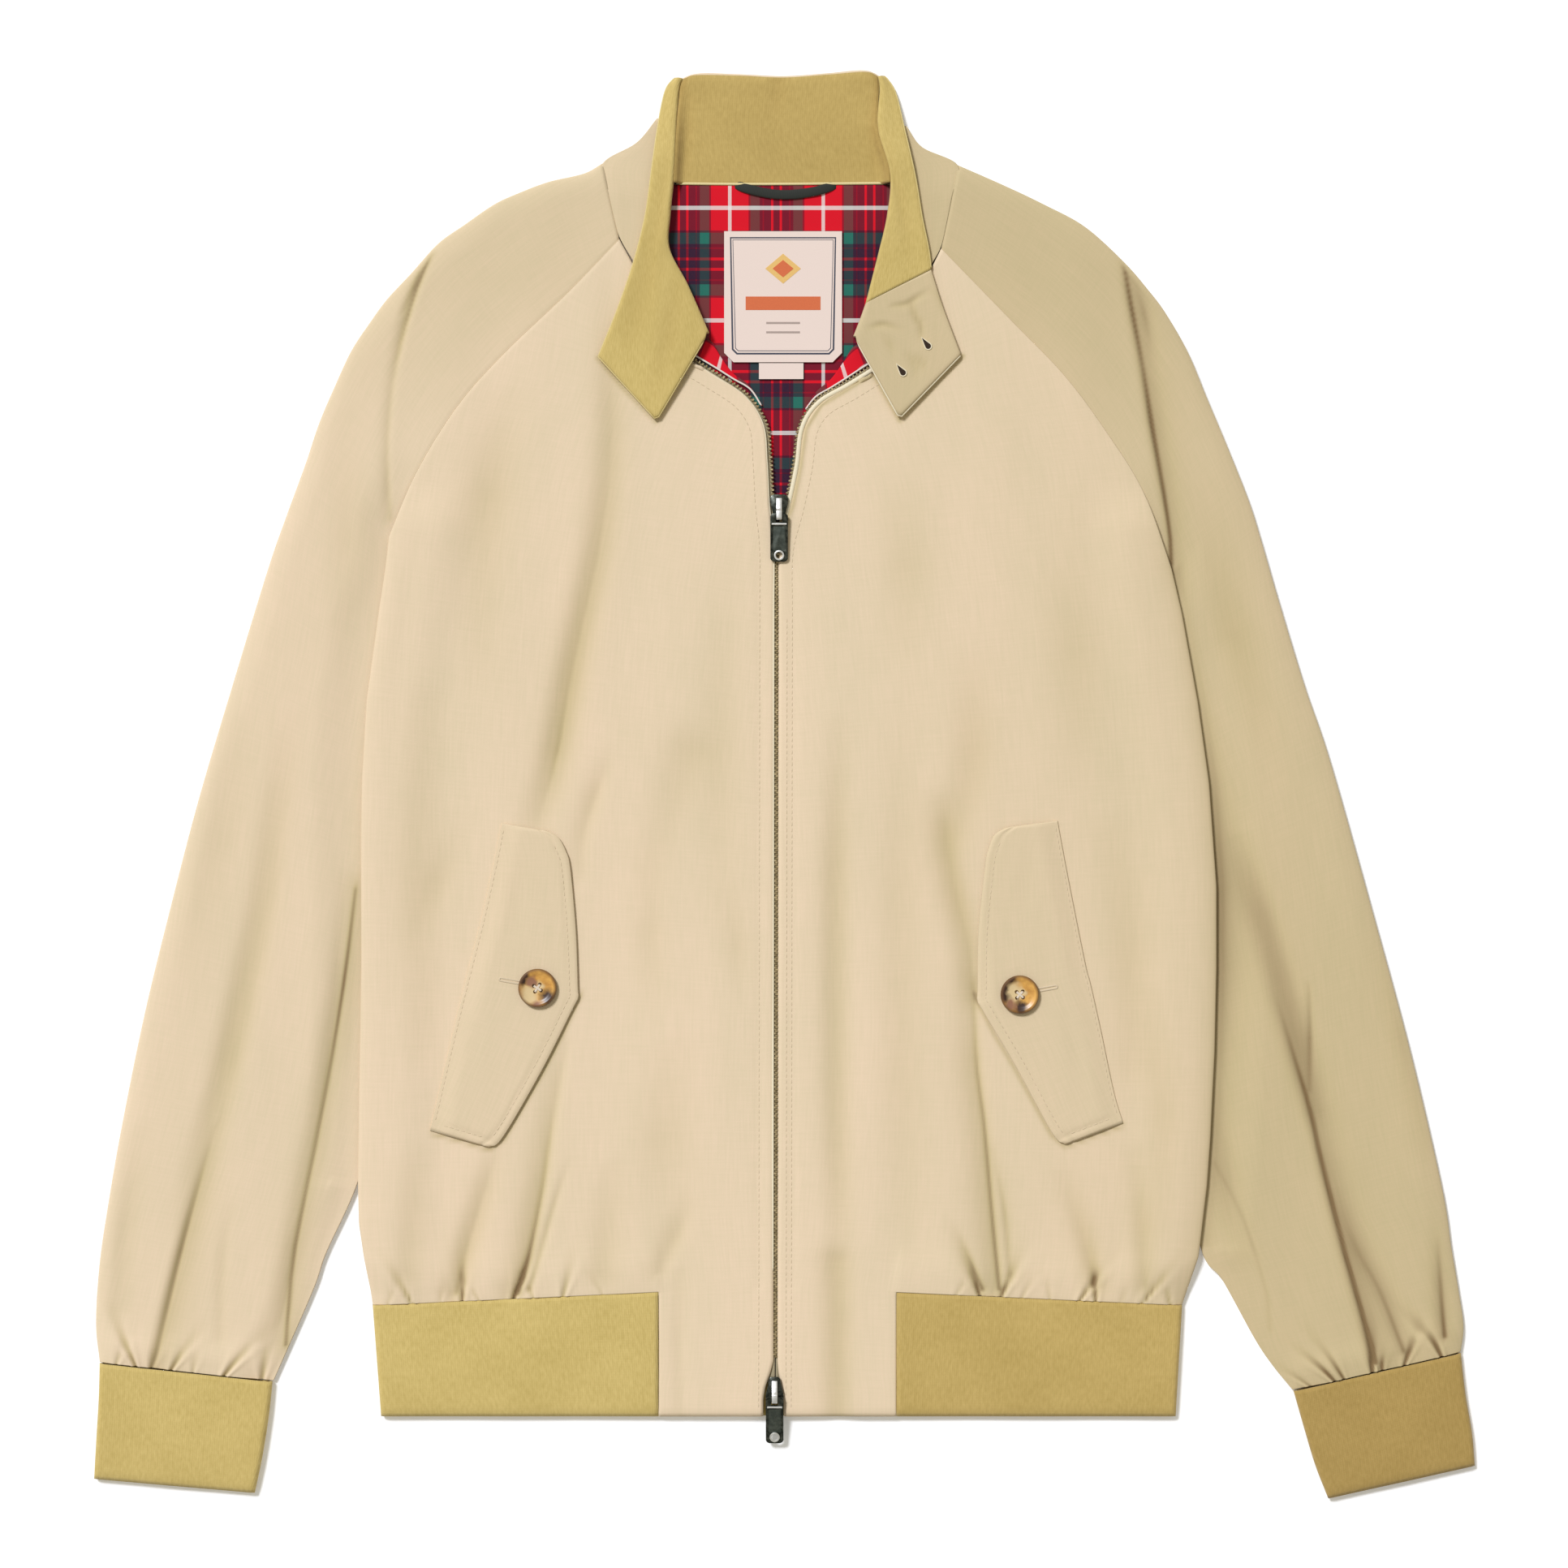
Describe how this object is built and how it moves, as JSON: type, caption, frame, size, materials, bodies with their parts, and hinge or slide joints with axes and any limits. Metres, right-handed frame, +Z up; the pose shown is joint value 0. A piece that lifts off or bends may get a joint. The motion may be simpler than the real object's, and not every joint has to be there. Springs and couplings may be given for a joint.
{
  "type": "harrington jacket",
  "caption": "Waist-length raglan jacket laid flat, zipped, with an open knit-lined collar, knit cuffs and hem, slanted button-flap pockets and a tartan lining.",
  "frame": {"origin": "on the surface the jacket lies on, under the middle of its outline", "axes": "+Z up from the surface, out of the front of the jacket; +Y from the hem towards the collar; +X towards the wearer's left sleeve"},
  "size_m": [0.7383, 0.7642, 0.0116],
  "materials": {
    "shell_cloth": "tightly woven beige cotton blend",
    "rib_knit": "fine mustard knit",
    "tartan_lining": "woven red tartan with green, navy and white",
    "label_cloth": "smooth pale woven label",
    "loop_cloth": "dark green cord",
    "zip_tape": "woven olive tape",
    "horn": "polished mottled horn",
    "dark_metal": "dark polished nickel plating"
  },
  "bodies": {
    "jacket": {"back": "shell_cloth", "front_right": "shell_cloth", "front_left": "shell_cloth", "sleeve_front_right": "shell_cloth", "sleeve_front_left": "shell_cloth", "sleeve_back_right": "shell_cloth", "sleeve_back_left": "shell_cloth", "cuff_right": "rib_knit", "cuff_left": "rib_knit", "hem_rib_right": "rib_knit", "hem_rib_left": "rib_knit", "collar_back_shell": "shell_cloth", "collar_back_rib": "rib_knit", "collar_stand_right": "shell_cloth", "collar_stand_left": "shell_cloth", "collar_leaf_right": "rib_knit", "collar_leaf_left": "rib_knit", "collar_tab_left": "shell_cloth", "collar_under_right": "shell_cloth", "collar_under_left": "shell_cloth", "pocket_flap_right": "shell_cloth", "pocket_flap_left": "shell_cloth", "button_right": "horn", "button_left": "horn", "zip_tape_right": "zip_tape", "zip_tape_left": "zip_tape", "zip_slider_top": "dark_metal", "zip_slider_bottom": "dark_metal", "lining_back": "tartan_lining", "lining_front_right": "tartan_lining", "lining_front_left": "tartan_lining", "label": "label_cloth", "label_tab": "label_cloth", "hanger_loop": "loop_cloth"},
    "pull_top": {"zip_pull_top": "dark_metal"},
    "pull_bottom": {"zip_pull_bottom": "dark_metal"}
  },
  "joints": [
    {"name": "pull_top_hinge", "type": "hinge", "parent": "jacket", "child": "pull_top", "pos_m": [-0.0026, 0.1436, 0.00855], "axis": [-1, 0, 0], "range_deg": [0, 150]},
    {"name": "pull_bottom_hinge", "type": "hinge", "parent": "jacket", "child": "pull_bottom", "pos_m": [-0.005, -0.3275, 0.00855], "axis": [-1, 0, 0], "range_deg": [0, 150]}
  ]
}
